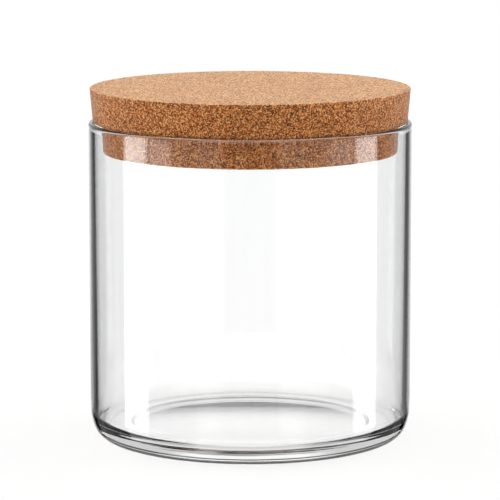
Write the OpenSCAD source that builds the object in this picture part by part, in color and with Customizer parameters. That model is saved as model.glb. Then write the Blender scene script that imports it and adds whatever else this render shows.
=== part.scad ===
// Straight-sided glass storage jar with a stepped cork lid.
//
// Two pieces: a round glass vessel, and a one-piece lid of pressed cork whose
// disc rests on the rim and whose plug hangs inside the mouth.
// Millimetres, +Z up. The origin is the centre of the plane that the jar stands on.

/* [Glass vessel] */
// Outside diameter of the straight wall
jar_d = 100; // [70:1:160]
// Height from the table to the top of the rim
glass_h = 98.7; // [50:0.1:200]
// Wall thickness at the mouth
mouth_wall_t = 1.8; // [1.2:0.1:4]
// Wall thickness just above the inner corner, where the glass runs thicker
base_wall_t = 2.2; // [1.8:0.1:5]
// How far the fire-polished rim swells past each face of the wall
rim_swell = 0.12; // [0.04:0.01:0.4]

/* [Heel] */
// Radius of the slow bend at the foot of the wall
heel_high_r = 17.7; // [9:0.1:20]
// How far the slow bend turns the wall under, in degrees
heel_turn = 21.7; // [10:0.1:35]
// Radius of the tighter bend below it, down to the foot ring
heel_low_r = 5.2; // [3:0.1:8]

/* [Floor] */
// Height of the inside floor above the table, at its edge
floor_h = 4.8; // [3.5:0.1:10]
// Inside radius between the wall and the floor
inner_corner_r = 4; // [2:0.1:8]
// Slope of the domed floor at its edge, in degrees
floor_slope = 1.5; // [0.5:0.1:4]

/* [Underside] */
// Width of the flat ring that the jar stands on
foot_ring_w = 5.7; // [2:0.1:12]
// Rounding from the foot ring up into the hollow
step_low_r = 4.2; // [1:0.1:8]
// Rounding from that step into the hollow's dome
step_high_r = 2.7; // [1:0.1:8]
// Height of the step
step_h = 0.5; // [0.1:0.05:0.8]
// Slope of the hollow's dome at its edge, in degrees
dome_slope = 3; // [1:0.1:4.5]

/* [Cork lid] */
// Height of the disc above the rim
disc_h = 10.5; // [4:0.1:25]
// Width of the rim that the disc's lower face covers
rim_cover = 0.55; // [0.3:0.05:1.1]
// How much the disc widens from its lower face to its top face, in radius
disc_flare = 0.85; // [0:0.05:3]
// Height of the plug below the disc
plug_h = 9.3; // [3:0.1:30]
// Gap between the plug and the inside of the mouth, all round
plug_gap = 2.3; // [0.5:0.1:6]
// How much the plug narrows from top to bottom, in radius
plug_taper = 0.3; // [0:0.05:2]
// Edge rounding of the disc
disc_edge_r = 0.4; // [0.1:0.05:1.5]
// Edge rounding at the plug's lower end
plug_edge_r = 0.8; // [0.1:0.05:2]
// Clearance between the top of the rim and the disc above it
seat_gap = 0.05; // [0.02:0.01:0.3]

/* [Hidden] */
$fn = 128;
// A short arc of a very large circle needs more sides to stay smooth.
large_arc_fn = 512;
// A cut or a join reaches this far past the face that it has to clear.
reach = 1;

jar_r = jar_d / 2;
rim_bead_r = mouth_wall_t / 2 + rim_swell;
rim_bead_mid_r = jar_r - mouth_wall_t / 2;
wall_top_z = glass_h - rim_bead_r;
mouth_r = jar_r - mouth_wall_t;

// The heel's two bends share the line through both their centres.
heel_high_x = jar_r - heel_high_r;
heel_high_z = heel_low_r + (heel_high_r - heel_low_r) * sin(heel_turn);
heel_low_x = heel_high_x + (heel_high_r - heel_low_r) * cos(heel_turn);

// The floor's dome starts where the inner corner's round reaches floor_slope.
inner_corner_z = floor_h + inner_corner_r * cos(floor_slope);
wall_lean = atan((base_wall_t - mouth_wall_t) / (wall_top_z - inner_corner_z));
inner_corner_x = jar_r - base_wall_t - inner_corner_r / cos(wall_lean);
floor_edge_x = inner_corner_x - inner_corner_r * sin(floor_slope);
floor_dome_r = floor_edge_x / sin(floor_slope);

// The step under the base is two roundings that meet at step_slope; the hollow's dome follows.
foot_ring_in_r = heel_low_x - foot_ring_w;
step_slope = acos(1 - step_h / (step_low_r + step_high_r));
step_mid_x = foot_ring_in_r - step_low_r * sin(step_slope);
step_mid_z = step_low_r * (1 - cos(step_slope));
step_high_x = step_mid_x - step_high_r * sin(step_slope);
step_high_z = step_mid_z - step_high_r * cos(step_slope);
dome_edge_x = step_high_x + step_high_r * sin(dome_slope);
dome_edge_z = step_high_z + step_high_r * cos(dome_slope);
dome_r = dome_edge_x / sin(dome_slope);

disc_bottom_z = glass_h + seat_gap;
disc_top_z = disc_bottom_z + disc_h;
disc_bottom_r = mouth_r + rim_cover;
disc_top_r = disc_bottom_r + disc_flare;
plug_top_r = mouth_r - plug_gap;
plug_bottom_r = plug_top_r - plug_taper;
plug_bottom_z = disc_bottom_z - plug_h;

glass_colour = [0.86, 0.92, 0.93, 0.35];
cork_colour = [0.74, 0.53, 0.36];

// The part of a disc round (x, z) between the angles from and to, less than 180 degrees apart.
module sector(x, z, r, from, to) {
    far = r / cos((to - from) / 2);
    middle = (from + to) / 2;
    intersection() {
        translate([x, z]) circle(r = r);
        polygon([
            [x, z],
            [x + far * cos(from), z + far * sin(from)],
            [x + far * cos(middle), z + far * sin(middle)],
            [x + far * cos(to), z + far * sin(to)]
        ]);
    }
}

// Half outline of the vessel's outside up to its straight wall's top, with the two bends of the heel.
module outside_outline() {
    polygon([
        [0, 0],
        [heel_low_x, 0],
        [heel_low_x, heel_low_r],
        [heel_high_x, heel_high_z],
        [jar_r, heel_high_z],
        [jar_r, wall_top_z],
        [0, wall_top_z]
    ]);
    sector(heel_high_x, heel_high_z, heel_high_r, -heel_turn, 0);
    translate([heel_low_x, heel_low_r]) circle(r = heel_low_r);
}

// Half outline of the inside: the wall leans out by wall_lean, the floor is a shallow dome,
// and both are tangent to the corner's round.
module inside_outline() {
    tangent_x = inner_corner_x + inner_corner_r * cos(wall_lean);
    tangent_z = inner_corner_z - inner_corner_r * sin(wall_lean);
    open_z = wall_top_z + reach;
    open_x = tangent_x + (open_z - tangent_z) * tan(wall_lean);
    difference() {
        union() {
            polygon([
                [0, floor_h],
                [floor_edge_x, floor_h],
                [inner_corner_x, inner_corner_z],
                [tangent_x, tangent_z],
                [open_x, open_z],
                [0, open_z]
            ]);
            translate([inner_corner_x, inner_corner_z]) circle(r = inner_corner_r);
        }
        translate([0, floor_h - floor_dome_r * cos(floor_slope)])
            circle(r = floor_dome_r, $fn = large_arc_fn);
    }
}

// Half outline of the hollow under the base: a dome inside a rounded step.
module hollow_outline() {
    intersection() {
        translate([0, dome_edge_z - dome_r * cos(dome_slope)]) circle(r = dome_r, $fn = large_arc_fn);
        translate([0, -reach]) square([dome_edge_x, floor_h]);
    }
    sector(step_high_x, step_high_z, step_high_r, 90 - step_slope, 90 - dome_slope);
    difference() {
        polygon([
            [dome_edge_x, -reach],
            [dome_edge_x, dome_edge_z],
            [step_mid_x, step_mid_z],
            [foot_ring_in_r, 0],
            [foot_ring_in_r, -reach]
        ]);
        translate([foot_ring_in_r, step_low_r]) circle(r = step_low_r);
    }
}

// The vessel: one blown piece of clear glass, thicker towards its base,
// with a heel of two bends, a foot ring round a shallow hollow, a floor that rises a
// little to its middle and a fire-polished rim.
module glass_jar() {
    color(glass_colour)
        rotate_extrude() {
            difference() {
                outside_outline();
                inside_outline();
                hollow_outline();
            }
            translate([rim_bead_mid_r, wall_top_z]) circle(r = rim_bead_r);
        }
}

// Half outline of a round cork block from bottom_z to top_z, whose side leans
// from bottom_r to top_r, with the given rounding at its lower and upper edges.
module cork_block_outline(bottom_r, top_r, bottom_z, top_z, bottom_edge_r, top_edge_r) {
    lean = atan((top_r - bottom_r) / (top_z - bottom_z));
    low_x = bottom_r - bottom_edge_r * (1 - sin(lean)) / cos(lean);
    high_x = top_r - top_edge_r * (1 + sin(lean)) / cos(lean);
    low_z = bottom_z + bottom_edge_r;
    high_z = top_z - top_edge_r;
    polygon([
        [0, bottom_z],
        [low_x, bottom_z],
        [low_x, low_z],
        [low_x + bottom_edge_r * cos(lean), low_z - bottom_edge_r * sin(lean)],
        [high_x + top_edge_r * cos(lean), high_z - top_edge_r * sin(lean)],
        [high_x, high_z],
        [high_x, top_z],
        [0, top_z]
    ]);
    translate([low_x, low_z]) circle(r = bottom_edge_r);
    translate([high_x, high_z]) circle(r = top_edge_r);
}

// The lid: one piece of pressed cork, a disc that flares upwards over a tapered plug.
module cork_lid() {
    color(cork_colour)
        rotate_extrude() {
            cork_block_outline(disc_bottom_r, disc_top_r, disc_bottom_z, disc_top_z,
                disc_edge_r, disc_edge_r);
            cork_block_outline(plug_bottom_r, plug_top_r, plug_bottom_z, disc_bottom_z + disc_edge_r,
                plug_edge_r, disc_edge_r / 2);
        }
}

glass_jar();
cork_lid();
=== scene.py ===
"""Straight-sided glass storage jar with a stepped cork lid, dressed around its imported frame.

Metres, in the frame of the CAD part: +Z up, the origin at the centre of the plane that the jar stands on.
Both pieces are turned shapes, so each is a dense turned mesh that replaces its CAD solid: clear glass with
faint ripples at the heel, and pressed cork with its grain, pits and worn edges.
"""
import math

import bmesh
import bpy
import numpy as np
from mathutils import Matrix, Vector


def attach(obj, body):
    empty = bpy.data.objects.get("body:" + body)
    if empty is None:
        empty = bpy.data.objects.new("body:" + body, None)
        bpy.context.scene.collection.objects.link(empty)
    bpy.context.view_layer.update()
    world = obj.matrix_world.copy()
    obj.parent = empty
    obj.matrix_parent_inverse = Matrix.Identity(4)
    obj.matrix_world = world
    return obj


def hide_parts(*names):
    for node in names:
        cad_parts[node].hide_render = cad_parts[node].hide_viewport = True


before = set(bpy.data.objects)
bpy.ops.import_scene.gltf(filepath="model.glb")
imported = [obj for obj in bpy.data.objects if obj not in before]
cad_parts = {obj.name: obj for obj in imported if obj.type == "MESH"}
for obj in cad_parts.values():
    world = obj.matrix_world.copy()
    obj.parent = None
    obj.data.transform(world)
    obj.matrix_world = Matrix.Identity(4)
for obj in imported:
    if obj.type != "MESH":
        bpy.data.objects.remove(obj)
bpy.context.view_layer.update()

MM = 0.001
SCENE = bpy.context.scene

# ---------------------------------------------------------------- sizes, in millimetres and degrees
JAR_R = 50.0
GLASS_H = 98.7
MOUTH_WALL = 1.8
BASE_WALL = 2.2
RIM_SWELL = 0.03          # less than the CAD's, which would act as a lens over the cork behind it
RIM_BLEND = 1.3           # height over which the rim's swell fades into the wall
HEEL_HIGH_R = 17.7        # the wall turns in slowly
HEEL_LOW_R = 5.2          # then tightly under
HEEL_TURN = 21.7          # turned by the slow part
FLOOR_Z = 4.8             # the floor's height at the inner corner
CORNER_R = 4.0            # between the wall's inside and the floor
FLOOR_SLOPE = 1.5         # at the floor's edge; the floor is a shallow dome
RING_IN_R = 38.2          # inner edge of the foot ring
UNDER_LOW_R = 4.2         # rounding from the foot ring up into the hollow
UNDER_HIGH_R = 2.7        # rounding from there into the hollow's dome
UNDER_RISE = 0.5          # height of the step that the two roundings make
UNDER_DOME_SLOPE = 3.0    # at the edge of the hollow's dome

SEAT_GAP = 0.05           # between the rim and the disc above it
RIM_COVER = 0.55          # width of the rim that the disc's lower face covers
DISC_H = 10.5
DISC_FLARE = 0.85         # how much the disc widens upwards, in radius
DISC_EDGE_R = 0.4
PLUG_GAP = 2.3            # between the plug and the mouth
PLUG_H = 9.3
PLUG_TAPER = 0.3          # how much the plug narrows downwards, in radius
PLUG_EDGE_R = 0.8

mouth_r = JAR_R - MOUTH_WALL
disc_bottom = GLASS_H + SEAT_GAP
disc_top = disc_bottom + DISC_H
disc_low_r = mouth_r + RIM_COVER
disc_top_r = disc_low_r + DISC_FLARE
plug_bottom = disc_bottom - PLUG_H
plug_top_r = mouth_r - PLUG_GAP
plug_low_r = plug_top_r - PLUG_TAPER

# ---------------------------------------------------------------- how fine the turned meshes are
# The steps are millimetres along the outline.
GLASS_SIDES = 448
DOME_STEP = 2.5           # along the floor's and the hollow's domes
HEEL_HIGH_STEP = 0.5
HEEL_LOW_STEP = 0.2
ROUND_STEP = 0.15         # along the inner corner and the step under the base
BEAD_STEP = 0.09
BLEND_RINGS = 14          # over the height of the rim's blend

# The lid's sides double outwards at these radii, so that its faces stay of about one size.
HUB_SIDES, INNER_SIDES, MIDDLE_SIDES, OUTER_SIDES, EDGE_SIDES = 60, 120, 240, 480, 960
HUB_R, INNER_R, MIDDLE_R = 6.0, 14.0, 30.0
TOP_HUB_R = 1.5           # the last ring round the middle of the lid's top
TOP_EDGE_BAND = 2.5       # width of the finest rings on the lid's top
PLUG_FACE_STEPS = (3.0, 2.0, 1.6, 0.8)         # from the axis outwards
TOP_FACE_STEPS = (0.36, 0.7, 1.2, 2.0, 1.5)    # from the edge inwards
PLUG_EDGE_STEP = 0.3
PLUG_SIDE_STEP = 0.45
LEDGE_STEP = 0.6          # on the disc's lower face, outside the plug
DISC_EDGE_STEP = 0.16
DISC_SIDE_STEP = 0.33
ON_AXIS = 1e-6            # an outline point nearer the axis than this is on it


# ---------------------------------------------------------------- the vessel's outline
def arc(cx, cz, r, start, end, step):
    """Points of an arc from start to end degrees, about step millimetres apart."""
    count = max(3, int(math.ceil(abs(math.radians(end - start)) * r / step)))
    angles = np.radians(np.linspace(start, end, count + 1))
    return [(cx + r * math.cos(a), cz + r * math.sin(a)) for a in angles]


def under_outline():
    """The hollow under the base, from the axis to the foot ring's inner edge."""
    slope = math.acos(1 - UNDER_RISE / (UNDER_LOW_R + UNDER_HIGH_R))     # where the two roundings meet
    high_x = RING_IN_R - UNDER_LOW_R * math.sin(slope) - UNDER_HIGH_R * math.sin(slope)
    high_z = UNDER_LOW_R * (1 - math.cos(slope)) - UNDER_HIGH_R * math.cos(slope)
    edge = math.radians(UNDER_DOME_SLOPE)
    dome_x = high_x + UNDER_HIGH_R * math.sin(edge)
    dome_z = high_z + UNDER_HIGH_R * math.cos(edge)
    dome_r = dome_x / math.sin(edge)
    turned_by = math.degrees(slope)
    points = arc(0, dome_z - dome_r * math.cos(edge), dome_r, 90, 90 - UNDER_DOME_SLOPE, DOME_STEP)
    points += arc(high_x, high_z, UNDER_HIGH_R, 90 - UNDER_DOME_SLOPE, 90 - turned_by, ROUND_STEP)[1:]
    points += arc(RING_IN_R, UNDER_LOW_R, UNDER_LOW_R, -90 - turned_by, -90, ROUND_STEP)[1:]
    return points


def rim_blend():
    """Pairs of the share of RIM_BLEND that is passed and the share of RIM_SWELL that is reached there."""
    passed = np.linspace(0, 1, BLEND_RINGS + 1)[1:]
    reached = passed * passed * (3 - 2 * passed)
    return list(zip(passed, reached))


def outside_outline(wall_top):
    """The heel's two bends and the straight wall, from the foot ring's outer edge to wall_top."""
    turn = math.radians(HEEL_TURN)
    heel_z = HEEL_LOW_R + (HEEL_HIGH_R - HEEL_LOW_R) * math.sin(turn)
    foot_x = JAR_R - HEEL_HIGH_R + (HEEL_HIGH_R - HEEL_LOW_R) * math.cos(turn)
    points = arc(foot_x, HEEL_LOW_R, HEEL_LOW_R, -90, -HEEL_TURN, HEEL_LOW_STEP)
    points += arc(JAR_R - HEEL_HIGH_R, heel_z, HEEL_HIGH_R, -HEEL_TURN, 0, HEEL_HIGH_STEP)[1:]
    for passed, reached in rim_blend():
        points.append((JAR_R + RIM_SWELL * reached, wall_top - RIM_BLEND * (1 - passed)))
    return points


def inside_outline(wall_top):
    """The leaning inner wall, the corner and the domed floor, from below wall_top to the axis."""
    floor_slope = math.radians(FLOOR_SLOPE)
    corner_z = FLOOR_Z + CORNER_R * math.cos(floor_slope)
    lean = math.atan((BASE_WALL - MOUTH_WALL) / (wall_top - corner_z))
    corner_x = JAR_R - BASE_WALL - CORNER_R / math.cos(lean)
    points = []
    for passed, reached in rim_blend():
        drop = RIM_BLEND * passed
        inner_r = mouth_r - drop * math.tan(lean)
        points.append((inner_r - RIM_SWELL * (1 - reached), wall_top - drop))
    points += arc(corner_x, corner_z, CORNER_R, -math.degrees(lean), -90 - FLOOR_SLOPE, ROUND_STEP)
    floor_x = corner_x - CORNER_R * math.sin(floor_slope)
    floor_z = corner_z - CORNER_R * math.cos(floor_slope)
    floor_r = floor_x / math.sin(floor_slope)
    dome_mid_z = floor_z - floor_r * math.cos(floor_slope)
    points += arc(0, dome_mid_z, floor_r, 90 - FLOOR_SLOPE, 90, DOME_STEP)[1:]
    return points


def glass_outline():
    """Half outline of the vessel, from axis to axis: its underside, outside, rim and inside."""
    bead_r = MOUTH_WALL / 2 + RIM_SWELL
    wall_top = GLASS_H - bead_r
    bead = arc(JAR_R - MOUTH_WALL / 2, wall_top, bead_r, 0, 180, BEAD_STEP)[1:]
    return under_outline() + outside_outline(wall_top) + bead + inside_outline(wall_top)


# ---------------------------------------------------------------- turned meshes
def strip(low, high):
    """Faces between two neighbouring rings of vertex numbers, the second further along the outline."""
    a, b = len(low), len(high)
    if a == b:
        return [(low[k], low[(k + 1) % a], high[(k + 1) % a], high[k]) for k in range(a)]
    if b == 1:
        return [(low[k], low[(k + 1) % a], high[0]) for k in range(a)]
    if a == 1:
        return [(low[0], high[(k + 1) % b], high[k]) for k in range(b)]
    # f0 to f2 are on the finer ring, c0 and c1 on the coarser one
    faces = []
    if a == 2 * b:
        for k in range(b):
            f0, f1, f2 = low[2 * k], low[2 * k + 1], low[(2 * k + 2) % a]
            c0, c1 = high[k], high[(k + 1) % b]
            faces += [(f0, f1, c0), (f1, c1, c0), (f1, f2, c1)]
    elif b == 2 * a:
        for k in range(a):
            f0, f1, f2 = high[2 * k], high[2 * k + 1], high[(2 * k + 2) % b]
            c0, c1 = low[k], low[(k + 1) % a]
            faces += [(f1, f0, c0), (c0, c1, f1), (c1, f2, f1)]
    else:
        raise ValueError("neighbouring rings must have equal counts, or one twice the other's")
    return faces


def turned(name, outline, counts):
    """A closed turned mesh. counts gives the sides at each outline point, which at most halve or double."""
    verts, rings, faces = [], [], []
    for (x, z), count in zip(outline, counts):
        if x < ON_AXIS:
            rings.append([len(verts)])
            verts.append((0.0, 0.0, z))
            continue
        angles = np.arange(count) * (2 * math.pi / count)
        rings.append(list(range(len(verts), len(verts) + count)))
        verts += [(x * math.cos(a), x * math.sin(a), z) for a in angles]
    for low, high in zip(rings, rings[1:]):
        faces += strip(low, high)
    mesh = bpy.data.meshes.new(name)
    mesh.from_pydata([tuple(c * MM for c in v) for v in verts], [], faces)
    outward = bmesh.new()
    outward.from_mesh(mesh)
    bmesh.ops.recalc_face_normals(outward, faces=outward.faces)
    outward.to_mesh(mesh)
    outward.free()
    mesh.shade_smooth()
    piece = bpy.data.objects.new(name, mesh)
    SCENE.collection.objects.link(piece)
    return piece


# ---------------------------------------------------------------- seeded noise, for the cork's relief
HASH_AXES = (np.uint64(73856093), np.uint64(19349663), np.uint64(83492791))
HASH_SEED = 2654435761
HASH_STIR = np.uint64(0x7FB5D329728EA185)
# the least that a pit can have, and the most that is drawn on top of it
LEAST_RADIUS, MORE_RADIUS = 0.25, 0.45     # in cells
LEAST_DEPTH, MORE_DEPTH = 0.45, 0.55


def hashed(cells, seed):
    """A number from 0 to 1 for each integer cell (n, 3), the same on every run."""
    c = cells.astype(np.int64).astype(np.uint64)
    bits = c[:, 0] * HASH_AXES[0] ^ c[:, 1] * HASH_AXES[1] ^ c[:, 2] * HASH_AXES[2]
    bits ^= np.uint64(seed * HASH_SEED % 2**32)
    for _ in range(2):
        bits = (bits ^ (bits >> np.uint64(31))) * HASH_STIR
        bits = bits ^ (bits >> np.uint64(27))
    return (bits >> np.uint64(11)).astype(float) / float(2**53)


def value_noise(points, size, seed):
    """Smooth noise from -1 to 1 with features about size millimetres wide."""
    scaled = points / size
    base = np.floor(scaled).astype(np.int64)
    share = scaled - base
    share = share * share * (3 - 2 * share)
    total = np.zeros(len(scaled))
    for dx in (0, 1):
        for dy in (0, 1):
            for dz in (0, 1):
                weight = (share[:, 0] if dx else 1 - share[:, 0]) * (share[:, 1] if dy else 1 - share[:, 1])
                weight = weight * (share[:, 2] if dz else 1 - share[:, 2])
                total += weight * hashed(base + np.array([dx, dy, dz]), seed)
    return total * 2 - 1


def pit_field(points, size, share, seed):
    """0 to 1 inside scattered pits: cells are size millimetres wide, and a share of them hold one each."""
    base = np.floor(points / size).astype(np.int64)
    depth = np.zeros(len(points))
    for dx in (-1, 0, 1):
        for dy in (-1, 0, 1):
            for dz in (-1, 0, 1):
                cell = base + np.array([dx, dy, dz])
                centre = np.stack([cell[:, i] + hashed(cell, seed + 1 + i) for i in range(3)], 1) * size
                radius = size * (LEAST_RADIUS + MORE_RADIUS * hashed(cell, seed + 4))
                inside = 1 - np.linalg.norm(points - centre, axis=1) / radius
                here = np.where(hashed(cell, seed + 5) < share, np.clip(inside, 0, 1), 0)
                depth = np.maximum(depth, here * (LEAST_DEPTH + MORE_DEPTH * hashed(cell, seed + 6)))
    return depth


# ---------------------------------------------------------------- node helpers
class Tree:
    """Builds a node tree; each call that makes nodes returns the last one, or its outputs."""

    def __init__(self, owner):
        owner.use_nodes = True
        self.t = owner.node_tree
        self.t.nodes.clear()

    def node(self, kind, **settings):
        n = self.t.nodes.new(kind)
        for key, value in settings.items():
            setattr(n, key, value)
        return n

    def put(self, socket, value):
        if isinstance(value, bpy.types.NodeSocket):
            self.t.links.new(value, socket)
        else:
            socket.default_value = value

    def math(self, op, a, b=None):
        n = self.node("ShaderNodeMath", operation=op)
        self.put(n.inputs[0], a)
        if b is not None:
            self.put(n.inputs[1], b)
        return n.outputs[0]

    def add(self, *values):
        total = values[0]
        for v in values[1:]:
            total = self.math("ADD", total, v)
        return total

    def mul(self, a, b):
        return self.math("MULTIPLY", a, b)

    def one_minus(self, a):
        return self.math("SUBTRACT", 1.0, a)

    def length(self, x, y):
        return self.math("SQRT", self.add(self.mul(x, x), self.mul(y, y)))

    def remap(self, x, lo, hi, to_lo, to_hi, kind="LINEAR"):
        n = self.node("ShaderNodeMapRange", interpolation_type=kind)
        self.put(n.inputs["Value"], x)
        for name, value in zip(("From Min", "From Max", "To Min", "To Max"), (lo, hi, to_lo, to_hi)):
            n.inputs[name].default_value = value
        return n.outputs["Result"]

    def smooth(self, x, lo, hi):
        """0 below lo, 1 above hi, with soft ends."""
        return self.remap(x, lo, hi, 0.0, 1.0, "SMOOTHSTEP")

    def band(self, x, lo, hi, soft):
        """1 between lo and hi, with edges soft wide."""
        rise = self.smooth(x, lo - soft / 2, lo + soft / 2)
        return self.mul(rise, self.one_minus(self.smooth(x, hi - soft / 2, hi + soft / 2)))

    def mix(self, factor, a, b, kind="FLOAT", blend="MIX"):
        """a where factor is 0, b where it is 1."""
        n = self.node("ShaderNodeMix", data_type=kind)
        first, second = (2, 3) if kind == "FLOAT" else (6, 7)
        if kind == "RGBA":
            n.blend_type = blend
        self.put(n.inputs[0], factor)
        self.put(n.inputs[first], a)
        self.put(n.inputs[second], b)
        return n.outputs[0 if kind == "FLOAT" else 2]

    def ramp(self, x, stops):
        n = self.node("ShaderNodeValToRGB")
        while len(n.color_ramp.elements) < len(stops):
            n.color_ramp.elements.new(0.5)
        for element, (place, colour) in zip(n.color_ramp.elements, stops):
            element.position = place
            element.color = (*colour, 1.0)
        self.put(n.inputs[0], x)
        return n.outputs[0]

    def voronoi(self, vector, width):
        """Distance and colour of cells that are about width metres wide."""
        n = self.node("ShaderNodeTexVoronoi")
        self.put(n.inputs["Vector"], vector)
        n.inputs["Scale"].default_value = 1 / width
        return n.outputs["Distance"], n.outputs["Color"]

    def noise(self, vector, scale, detail):
        n = self.node("ShaderNodeTexNoise")
        self.put(n.inputs["Vector"], vector)
        n.inputs["Scale"].default_value = scale
        n.inputs["Detail"].default_value = detail
        return n.outputs[0]

    def separate(self, vector):
        n = self.node("ShaderNodeSeparateXYZ")
        self.put(n.inputs[0], vector)
        return n.outputs

    def bump(self, height, strength, distance):
        n = self.node("ShaderNodeBump")
        n.inputs["Strength"].default_value = strength
        n.inputs["Distance"].default_value = distance
        self.put(n.inputs["Height"], height)
        return n.outputs[0]


# ---------------------------------------------------------------- glass
GLASS_IOR = 1.50
GLASS_TINTS = ((0.992, 0.997, 0.995, 1.0), (1.0, 1.0, 1.0, 1.0))
TINT_SCALE = 28.0             # clouds to a metre
RIPPLE_WIDTH = 0.7            # millimetres
RIPPLE_DEPTH = 0.04
RIPPLE_TOP = (6.0, 12.0)      # heights between which the ripples fade out
RIPPLE_INNER = (37.0, 42.0)   # radii between which they fade in


def glass_material():
    material = bpy.data.materials.new("clear_glass")
    t = Tree(material)
    out = t.node("ShaderNodeOutputMaterial")
    shader = t.node("ShaderNodeBsdfPrincipled")
    shader.inputs["Transmission Weight"].default_value = 1.0
    shader.inputs["Roughness"].default_value = 0.0
    shader.inputs["IOR"].default_value = GLASS_IOR
    place = t.node("ShaderNodeTexCoord").outputs["Object"]
    cloud = t.noise(place, scale=TINT_SCALE, detail=1.0)
    t.put(shader.inputs["Base Color"], t.mix(cloud, *GLASS_TINTS, "RGBA"))
    # faint ripples left by the mould, drawn out round the jar and only at its heel
    x, y, z = t.separate(place)
    radius = t.length(x, y)
    across = t.node("ShaderNodeCombineXYZ")
    t.put(across.inputs[0], t.math("DIVIDE", x, radius))
    t.put(across.inputs[1], t.math("DIVIDE", y, radius))
    t.put(across.inputs[2], t.mul(t.math("SUBTRACT", z, radius), 1 / (RIPPLE_WIDTH * MM)))
    ripple = t.noise(across.outputs[0], scale=1.0, detail=2.0)
    below = t.one_minus(t.smooth(z, RIPPLE_TOP[0] * MM, RIPPLE_TOP[1] * MM))
    outside = t.smooth(radius, RIPPLE_INNER[0] * MM, RIPPLE_INNER[1] * MM)
    height = t.mul(ripple, t.mul(below, outside))
    t.put(shader.inputs["Normal"], t.bump(height, strength=1.0, distance=RIPPLE_DEPTH * MM))
    t.put(out.inputs["Surface"], shader.outputs[0])
    return material


vessel_outline = glass_outline()
glass = turned("glass_vessel", vessel_outline, [GLASS_SIDES] * len(vessel_outline))
glass.data.materials.append(glass_material())
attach(glass, "jar")
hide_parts("glass_jar")


# ---------------------------------------------------------------- the cork's shape
def cork_outline():
    """Outline and side counts of the lid, from the axis under the plug to the axis on top of the disc."""
    points, counts = [], []

    def place(new, count):
        points.extend(new)
        counts.extend([count] * len(new))

    def run(x0, z0, x1, z1, spacing, count):
        """A straight line, without its first point."""
        n = max(1, int(round(math.hypot(x1 - x0, z1 - z0) / spacing)))
        place([(x0 + (x1 - x0) * i / n, z0 + (z1 - z0) * i / n) for i in range(1, n + 1)], count)

    def level(z, radii, spacings, sides):
        """Flat rings at height z, from each radius to the next."""
        for r0, r1, spacing, count in zip(radii, radii[1:], spacings, sides):
            run(r0, z, r1, z, spacing, count)

    def bend(cx, cz, r, start, end, step, count):
        """An arc, without its first point."""
        place(arc(cx, cz, r, start, end, step)[1:], count)

    plug_rim, plug_edge_z = plug_low_r - PLUG_EDGE_R, plug_bottom + PLUG_EDGE_R
    low_rim, low_edge_z = disc_low_r - DISC_EDGE_R, disc_bottom + DISC_EDGE_R
    top_rim, top_edge_z = disc_top_r - DISC_EDGE_R, disc_top - DISC_EDGE_R
    face_sides = (HUB_SIDES, INNER_SIDES, MIDDLE_SIDES, OUTER_SIDES)
    place([(0.0, plug_bottom)], HUB_SIDES)
    level(plug_bottom, (0, HUB_R, INNER_R, MIDDLE_R, plug_rim), PLUG_FACE_STEPS, face_sides)
    bend(plug_rim, plug_edge_z, PLUG_EDGE_R, -90, 0, PLUG_EDGE_STEP, OUTER_SIDES)
    run(plug_low_r, plug_edge_z, plug_top_r, disc_bottom, PLUG_SIDE_STEP, OUTER_SIDES)
    run(plug_top_r, disc_bottom, low_rim, disc_bottom, LEDGE_STEP, EDGE_SIDES)
    bend(low_rim, low_edge_z, DISC_EDGE_R, -90, 0, DISC_EDGE_STEP, EDGE_SIDES)
    run(disc_low_r, low_edge_z, disc_top_r, top_edge_z, DISC_SIDE_STEP, EDGE_SIDES)
    bend(top_rim, top_edge_z, DISC_EDGE_R, 0, 90, DISC_EDGE_STEP, EDGE_SIDES)
    level(disc_top, (top_rim, top_rim - TOP_EDGE_BAND, MIDDLE_R, INNER_R, HUB_R, TOP_HUB_R),
          TOP_FACE_STEPS, (EDGE_SIDES, *reversed(face_sides)))
    place([(0.0, disc_top)], HUB_SIDES)
    return points, counts


# each is a size in millimetres, the share of the cells that hold a pit, and a seed
LARGE_PITS = (1.0, 0.05, 11)
SMALL_PITS = (0.7, 0.08, 31)
SMALL_PIT_DEPTH = 0.8         # of a large pit's
# each is a size in millimetres and a seed
FINE_GRAIN, FINE_GRAIN_SHARE = (0.7, 5), 0.55
COARSE_GRAIN, COARSE_GRAIN_SHARE = (1.5, 6), 0.45
EDGE_WEAR = (1.1, 7)
EDGE_WEAR_BIAS = 0.1          # more of the edge is worn than not
# depths in millimetres
GRAIN_DEPTH = 0.05
SIDE_PIT_DEPTH = 0.34
FLAT_PIT_DEPTH = 0.12         # the flat faces are sanded
WEAR_DEPTH = 0.14
# a face is flat when its normal's upright part is above the first, and a side when it is below the second
FLAT_NORMAL, SIDE_NORMAL = 0.9, 0.25


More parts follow.
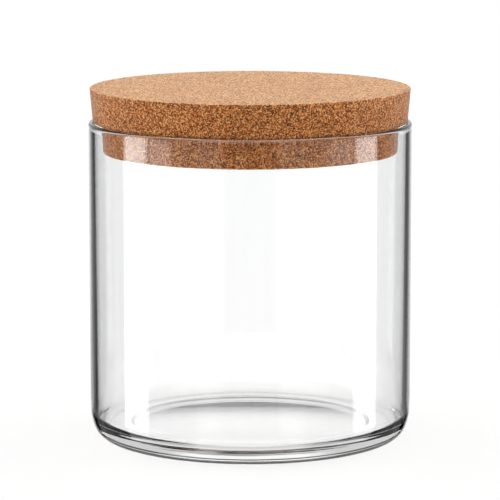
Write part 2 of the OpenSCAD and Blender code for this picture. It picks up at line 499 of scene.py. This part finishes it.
def roughen(piece):
    """Gives the cork its relief of grain, pits and worn edges, all cut inwards, so that it never grows."""
    mesh = piece.data
    n = len(mesh.vertices)
    co = np.empty(n * 3, np.float32)
    mesh.vertices.foreach_get("co", co)
    normals = np.empty(n * 3, np.float32)
    mesh.vertices.foreach_get("normal", normals)
    co = co.reshape(-1, 3).astype(float) / MM
    normals = normals.reshape(-1, 3).astype(float)
    upright = np.abs(normals[:, 2])
    flat = upright > FLAT_NORMAL
    pits = np.maximum(pit_field(co, *LARGE_PITS), SMALL_PIT_DEPTH * pit_field(co, *SMALL_PITS))
    grain = FINE_GRAIN_SHARE * value_noise(co, *FINE_GRAIN)
    grain = grain + COARSE_GRAIN_SHARE * value_noise(co, *COARSE_GRAIN)
    depth = GRAIN_DEPTH * (1 + grain) / 2 + np.where(flat, FLAT_PIT_DEPTH, SIDE_PIT_DEPTH) * pits
    edge = np.where(flat | (upright < SIDE_NORMAL), 0.0, 1.0)
    wear = np.clip(value_noise(co, *EDGE_WEAR) + EDGE_WEAR_BIAS, 0, 1)
    depth = depth + edge * WEAR_DEPTH * wear
    co = co - normals * depth[:, None]
    mesh.vertices.foreach_set("co", (co * MM).astype(np.float32).ravel())
    mesh.update()
    pit = mesh.attributes.new("pit", "FLOAT", "POINT")
    pit.data.foreach_set("value", pits.astype(np.float32))


# ---------------------------------------------------------------- the cork's material
# widths in millimetres
COARSE_CELL = 0.62
FINE_CELL = 0.34
SPECK_CELL = 0.52
DRIFT_CELL = 9.0
COARSE_SHARE = 0.15                        # of the tone; the fine cells give the rest
SIDE_TONES = [(0.12, (0.085, 0.019, 0.004)), (0.34, (0.285, 0.073, 0.012)), (0.55, (0.51, 0.155, 0.030)),
              (0.76, (0.75, 0.29, 0.076)), (0.92, (0.84, 0.47, 0.185))]
# tones of the flat faces, lighter and pinker than the sides': partly a sanded finish, partly painted light,
# the brightness of a top lit from above
TOP_TONES = [(0.12, (0.23, 0.058, 0.013)), (0.40, (0.66, 0.25, 0.073)),
             (0.65, (0.93, 0.465, 0.163)), (0.92, (0.95, 0.74, 0.42))]
BARK = (0.075, 0.022, 0.008, 1.0)
PALE = (0.88, 0.56, 0.30, 1.0)
# the painted shade inside pits
PIT_SHADE = (0.05, 0.015, 0.005, 1.0)
BARK_BELOW, PALE_ABOVE = 0.19, 0.90        # which specks are bark, and which are pale
SPECK_ENDS = (0.30, 0.48)                  # distances from a speck's middle, in cells
PIT_STARTS = (0.1, 0.6)
FLAT_STARTS = (0.55, 0.85)                 # upright parts of the normal
# each is for the cut sides, and for the sanded flat faces
BARK_COVER = (0.88, 0.60)
PALE_COVER = (0.60, 0.50)
PIT_COVER = (0.85, 0.35)
SHEEN = (0.27, 0.10)
SHEEN_ROUGHNESS = 0.35
SPECULAR = 0.25
DARK_ROUGHNESS, PALE_ROUGHNESS = 0.68, 0.48
DRIFT_NOISE, DRIFT_TONES = (0.3, 0.7), (0.94, 1.06)
BUMP_STRENGTH, BUMP_DEPTH = 0.5, 0.06


def cork_material():
    material = bpy.data.materials.new("pressed_cork")
    t = Tree(material)
    out = t.node("ShaderNodeOutputMaterial")
    shader = t.node("ShaderNodeBsdfPrincipled")
    coords = t.node("ShaderNodeTexCoord")
    place = coords.outputs["Object"]
    flat = t.smooth(t.math("ABSOLUTE", t.separate(coords.outputs["Normal"])[2]), *FLAT_STARTS)
    # grains: each fine cell has a tone, nudged by the coarse cell that it lies in
    _, coarse = t.voronoi(place, COARSE_CELL * MM)
    _, fine = t.voronoi(place, FINE_CELL * MM)
    tone = t.add(t.mul(t.separate(coarse)[0], COARSE_SHARE), t.mul(t.separate(fine)[1], 1 - COARSE_SHARE))
    # the flat faces take the top tones, partly painted light from above
    colour = t.mix(flat, t.ramp(tone, SIDE_TONES), t.ramp(tone, TOP_TONES), "RGBA")
    # bark specks, and a few pale ones
    speck_distance, speck = t.voronoi(place, SPECK_CELL * MM)
    spot = t.one_minus(t.smooth(speck_distance, *SPECK_ENDS))
    pick = t.separate(speck)[2]
    bark = t.mul(t.mul(spot, t.math("LESS_THAN", pick, BARK_BELOW)), t.mix(flat, *BARK_COVER))
    pale = t.mul(t.mul(spot, t.math("GREATER_THAN", pick, PALE_ABOVE)), t.mix(flat, *PALE_COVER))
    colour = t.mix(bark, colour, BARK, "RGBA")
    colour = t.mix(pale, colour, PALE, "RGBA")
    # broad, faint drift of tone
    cloud = t.noise(place, scale=1 / (DRIFT_CELL * MM), detail=2.0)
    drift = t.remap(cloud, *DRIFT_NOISE, *DRIFT_TONES)
    grey = t.node("ShaderNodeCombineColor")
    for channel in grey.inputs:
        t.put(channel, drift)
    colour = t.mix(1.0, colour, grey.outputs[0], "RGBA", "MULTIPLY")
    # painted shade inside the pits, on top of their cut relief
    pit = t.node("ShaderNodeAttribute", attribute_name="pit").outputs["Fac"]
    dark = t.mul(t.smooth(pit, *PIT_STARTS), t.mix(flat, *PIT_COVER))
    colour = t.mix(dark, colour, PIT_SHADE, "RGBA")
    t.put(shader.inputs["Base Color"], colour)
    t.put(shader.inputs["Roughness"], t.remap(tone, 0.0, 1.0, DARK_ROUGHNESS, PALE_ROUGHNESS))
    shader.inputs["Specular IOR Level"].default_value = SPECULAR
    t.put(shader.inputs["Sheen Weight"], t.mix(flat, *SHEEN))
    shader.inputs["Sheen Roughness"].default_value = SHEEN_ROUGHNESS
    t.put(shader.inputs["Normal"], t.bump(tone, BUMP_STRENGTH, BUMP_DEPTH * MM))
    t.put(out.inputs["Surface"], shader.outputs[0])
    return material


cork = turned("cork_stopper", *cork_outline())
roughen(cork)
cork.data.materials.append(cork_material())
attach(cork, "lid")
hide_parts("cork_lid")


# ---------------------------------------------------------------- camera, fitted to the photo's ellipses
FOCAL_PX, IMAGE_PX, SENSOR = 3164.0, 500.0, 36.0
CAMERA_PITCH = math.radians(9.042)
AIM_Z, DISTANCE = 58.2 * MM, 986.0 * MM
CAMERA_SHIFT = -0.0004
CAMERA_REACH = 100


def place_camera():
    data = bpy.data.cameras.new("camera")
    camera = bpy.data.objects.new("camera", data)
    SCENE.collection.objects.link(camera)
    SCENE.camera = camera
    data.sensor_width = SENSOR
    data.lens = FOCAL_PX / IMAGE_PX * SENSOR
    data.shift_x = CAMERA_SHIFT
    data.clip_end = CAMERA_REACH
    back = Vector((0, -math.cos(CAMERA_PITCH), math.sin(CAMERA_PITCH)))
    camera.location = Vector((0, 0, AIM_Z)) + back * DISTANCE
    camera.rotation_mode = "QUATERNION"
    camera.rotation_quaternion = (-back).to_track_quat("-Z", "Y")


# ---------------------------------------------------------------- studio
BACKDROP = 1.0            # what the camera sees straight
THROUGH_GLASS = 1.05      # the same white behind glass: a backdrop lit past white, less what the glass takes

# What the glass mirrors. Each band is from, to, and the softness of its edges, in degrees of azimuth,
# which is 0 at the camera and negative at its left.
LEFT_BOX = (-101.3, -79.6, 1.0)
RIGHT_BOX = (80.8, 101.6, 1.0)
LEFT_WALL = (-79.0, -60.0, 10.0)
# The same at both sides of the camera.
INNER_WALLS = (21.0, 40.0, 6.0)
MIDDLE_WALLS = (42.0, 58.0, 8.0)
OUTER_WALLS = (58.0, 79.0, 8.0)
SIDES = (50.0, 145.0, 10.0)
FLANKS = (103.0, 145.0, 8.0)               # past the softboxes
NEAR_FLANKS = (103.0, 124.0, 6.0)
FRONT_ENDS = (38.0, 52.0)
BACK_STARTS = (157.0, 168.0)
WALL_STARTS = (-11.8, -10.9)               # heights in degrees above the horizon
OUTER_WALL_FOOT, OUTER_WALL_FACE = 0.15, 1.3
CLUTTER_SCALE, CLUTTER_NOISE, CLUTTER_BRIGHTNESS = 9.0, (0.38, 0.62), (0.0, 0.34)

# How bright each thing is in the zone straight below. Then, going up, the heights between which a zone takes
# over from the one below it, and how bright each thing is there.
NADIR = {"sides": 2.0, "everywhere": 0.8}
ZONES = (
    (-60, -50, {"front": 2.0, "back": 0.4, "everywhere": 0.55}),
    (-34, -26, {"front": 0.35, "left box": 1.8, "right box": 1.4, "flanks": 0.3, "back": 0.85,
                "clutter": 1.0}),
    (-16, -12.5, {"left box": 5.6, "right box": 4.3, "outer walls": 1.0, "middle walls": 0.5,
                  "inner walls": 0.55, "flanks": 0.2, "back": 0.85, "clutter": 0.6, "left wall": 0.8,
                  "near flanks": -0.2}),
    (-4.5, -2, {"left box": 3.7, "right box": 3.3, "all but front": 0.85, "everywhere": 0.1,
                "left wall": 0.8, "near flanks": -0.65}),
    (2, 5, {"front": 2.0, "back": 0.4, "everywhere": 0.8}),
    (18, 24, {"front": 0.9, "back": 0.3, "everywhere": 0.35}),
    (55, 65, {"everywhere": 1.6}),
)

# What lights the cork and the table. The brightnesses add up.
ROOM = 0.80
LAMPS, LAMP_TOPS, LAMP_BRIGHTNESS = (62.0, 150.0, 24.0), (45.0, 60.0), 1.60
CEILING_STARTS, CEILING_BRIGHTNESS = (45.0, 65.0), 0.30
DIM_WALL, DIM_WALL_TOP, DIM_WALL_BRIGHTNESS = (-20.0, 60.0, 40.0), (30.0, 50.0), -0.50


def ray_kinds(t):
    """Masks: rays that at most passed through glass so far, and rays that a matt surface scattered."""
    path = t.node("ShaderNodeLightPath")
    mirrored = t.math("SUBTRACT", path.outputs["Ray Depth"], path.outputs["Transmission Depth"])
    seen = t.math("LESS_THAN", mirrored, 0.5)
    scattered = t.math("GREATER_THAN", path.outputs["Diffuse Depth"], 0.5)
    return seen, scattered


def is_camera_ray(t):
    return t.node("ShaderNodeLightPath").outputs["Is Camera Ray"]


def studio_masks(t, direction, azimuth, height):
    """Where each thing that the glass mirrors stands: 1 there and 0 elsewhere, with soft edges.

    The outer walls and the clutter aren't even, so their masks hold their own light and dark instead.
    """
    away = t.math("ABSOLUTE", azimuth)
    wall = t.smooth(height, *WALL_STARTS)
    front = t.one_minus(t.smooth(away, *FRONT_ENDS))
    clutter = t.noise(direction, scale=CLUTTER_SCALE, detail=2.0)
    return {
        "everywhere": 1.0,
        "left box": t.band(azimuth, *LEFT_BOX),
        "right box": t.band(azimuth, *RIGHT_BOX),
        "left wall": t.mul(t.band(azimuth, *LEFT_WALL), wall),
        "inner walls": t.band(away, *INNER_WALLS),
        "middle walls": t.band(away, *MIDDLE_WALLS),
        "outer walls": t.mul(t.band(away, *OUTER_WALLS), t.mix(wall, OUTER_WALL_FOOT, OUTER_WALL_FACE)),
        "sides": t.band(away, *SIDES),
        "flanks": t.band(away, *FLANKS),
        "near flanks": t.band(away, *NEAR_FLANKS),
        "front": front,
        "all but front": t.one_minus(front),
        "back": t.smooth(away, *BACK_STARTS),
        "clutter": t.remap(clutter, *CLUTTER_NOISE, *CLUTTER_BRIGHTNESS),
    }


def mirrored_studio(t, direction, azimuth, height):
    """What the glass mirrors: two softboxes among pale walls and dim clutter, in zones one above another."""
    masks = studio_masks(t, direction, azimuth, height)

    def zone(brightness):
        return t.add(*[t.mul(masks[name], value) for name, value in brightness.items()])

    field = zone(NADIR)
    for start, end, brightness in ZONES:
        field = t.mix(t.smooth(height, start, end), field, zone(brightness))
    return field


def room_light(t, azimuth, height):
    """What lights the cork and the table: lamps at both sides, a ceiling, a dim wall at the front right."""
    lamps = t.mul(t.band(t.math("ABSOLUTE", azimuth), *LAMPS), t.one_minus(t.smooth(height, *LAMP_TOPS)))
    ceiling = t.smooth(height, *CEILING_STARTS)
    dim = t.mul(t.band(azimuth, *DIM_WALL), t.one_minus(t.smooth(height, *DIM_WALL_TOP)))
    return t.add(
        ROOM,
        t.mul(lamps, LAMP_BRIGHTNESS),
        t.mul(ceiling, CEILING_BRIGHTNESS),
        t.mul(dim, DIM_WALL_BRIGHTNESS),
    )


def studio_world():
    world = bpy.data.worlds.new("studio")
    SCENE.world = world
    world.cycles.sampling_method = "NONE"
    t = Tree(world)
    out = t.node("ShaderNodeOutputWorld")
    light = t.node("ShaderNodeBackground")
    direction = t.node("ShaderNodeTexCoord").outputs["Generated"]
    x, y, z = t.separate(direction)
    to_degrees = 180 / math.pi
    azimuth = t.mul(t.math("ARCTAN2", x, t.mul(y, -1.0)), to_degrees)
    height = t.mul(t.math("ARCSINE", z), to_degrees)
    white = t.mix(is_camera_ray(t), THROUGH_GLASS, BACKDROP)
    seen, scattered = ray_kinds(t)
    unscattered = t.mix(seen, mirrored_studio(t, direction, azimuth, height), white)
    t.put(light.inputs["Strength"], t.mix(scattered, unscattered, room_light(t, azimuth, height)))
    t.put(out.inputs[0], light.outputs[0])


# ---------------------------------------------------------------- table
FLOOR_HALF = 4.0                           # metres
FLOOR_DROP = 0.1                           # millimetres under the jar's foot ring
TABLE_PAINT = 0.8                          # for scattered light, which it sends on to the cork
TABLE_SHADED = 0.28                        # the part of its seen white that the jar's shadow can darken
GLOW_DIRECT = 0.72                         # the part that it can't, seen straight
# the glow seen through glass is a little dimmer near the jar than away from it: painted shade under and
# round the jar
GLOW_NEAR, GLOW_FAR = 0.79, 0.825          # and seen through glass, near the jar and away from it
GLOW_RADII = (60.0, 120.0)                 # millimetres between which the one turns into the other


def matt(t, white):
    shader = t.node("ShaderNodeBsdfDiffuse")
    shader.inputs[0].default_value = (white, white, white, 1)
    return shader.outputs[0]


def either(t, factor, first, second):
    """The first shader where factor is 0, the second where it is 1."""
    n = t.node("ShaderNodeMixShader")
    t.put(n.inputs[0], factor)
    t.put(n.inputs[1], first)
    t.put(n.inputs[2], second)
    return n.outputs[0]


def table_material():
    material = bpy.data.materials.new("white_table")
    t = Tree(material)
    out = t.node("ShaderNodeOutputMaterial")
    x, y, _ = t.separate(t.node("ShaderNodeTexCoord").outputs["Object"])
    far = t.smooth(t.length(x, y), GLOW_RADII[0] * MM, GLOW_RADII[1] * MM)
    glow = t.node("ShaderNodeEmission")
    # through glass the glow is dimmer near the jar: painted shade under and round it
    t.put(glow.inputs[1], t.mix(is_camera_ray(t), t.mix(far, GLOW_NEAR, GLOW_FAR), GLOW_DIRECT))
    shown = t.node("ShaderNodeAddShader")
    t.put(shown.inputs[0], matt(t, TABLE_SHADED))
    t.put(shown.inputs[1], glow.outputs[0])
    seen, scattered = ray_kinds(t)
    solid = either(t, seen, matt(t, TABLE_PAINT), shown.outputs[0])
    # mirrored rays pass, so that the studio below the table shows in the glass
    clear = t.node("ShaderNodeBsdfTransparent").outputs[0]
    t.put(out.inputs["Surface"], either(t, t.math("MAXIMUM", seen, scattered), clear, solid))
    return material


def studio_floor():
    mesh = bpy.data.meshes.new("floor")
    corners = [(x * FLOOR_HALF, y * FLOOR_HALF, 0) for x, y in ((-1, -1), (1, -1), (1, 1), (-1, 1))]
    mesh.from_pydata(corners, [], [(0, 1, 2, 3)])
    mesh.materials.append(table_material())
    floor = bpy.data.objects.new("floor", mesh)
    SCENE.collection.objects.link(floor)
    floor.location.z = -FLOOR_DROP * MM


place_camera()
studio_world()
studio_floor()
SCENE.view_settings.view_transform = "Standard"
SCENE.cycles.blur_glossy = 0.0    # light that reaches the cork through the glass isn't spread or lost
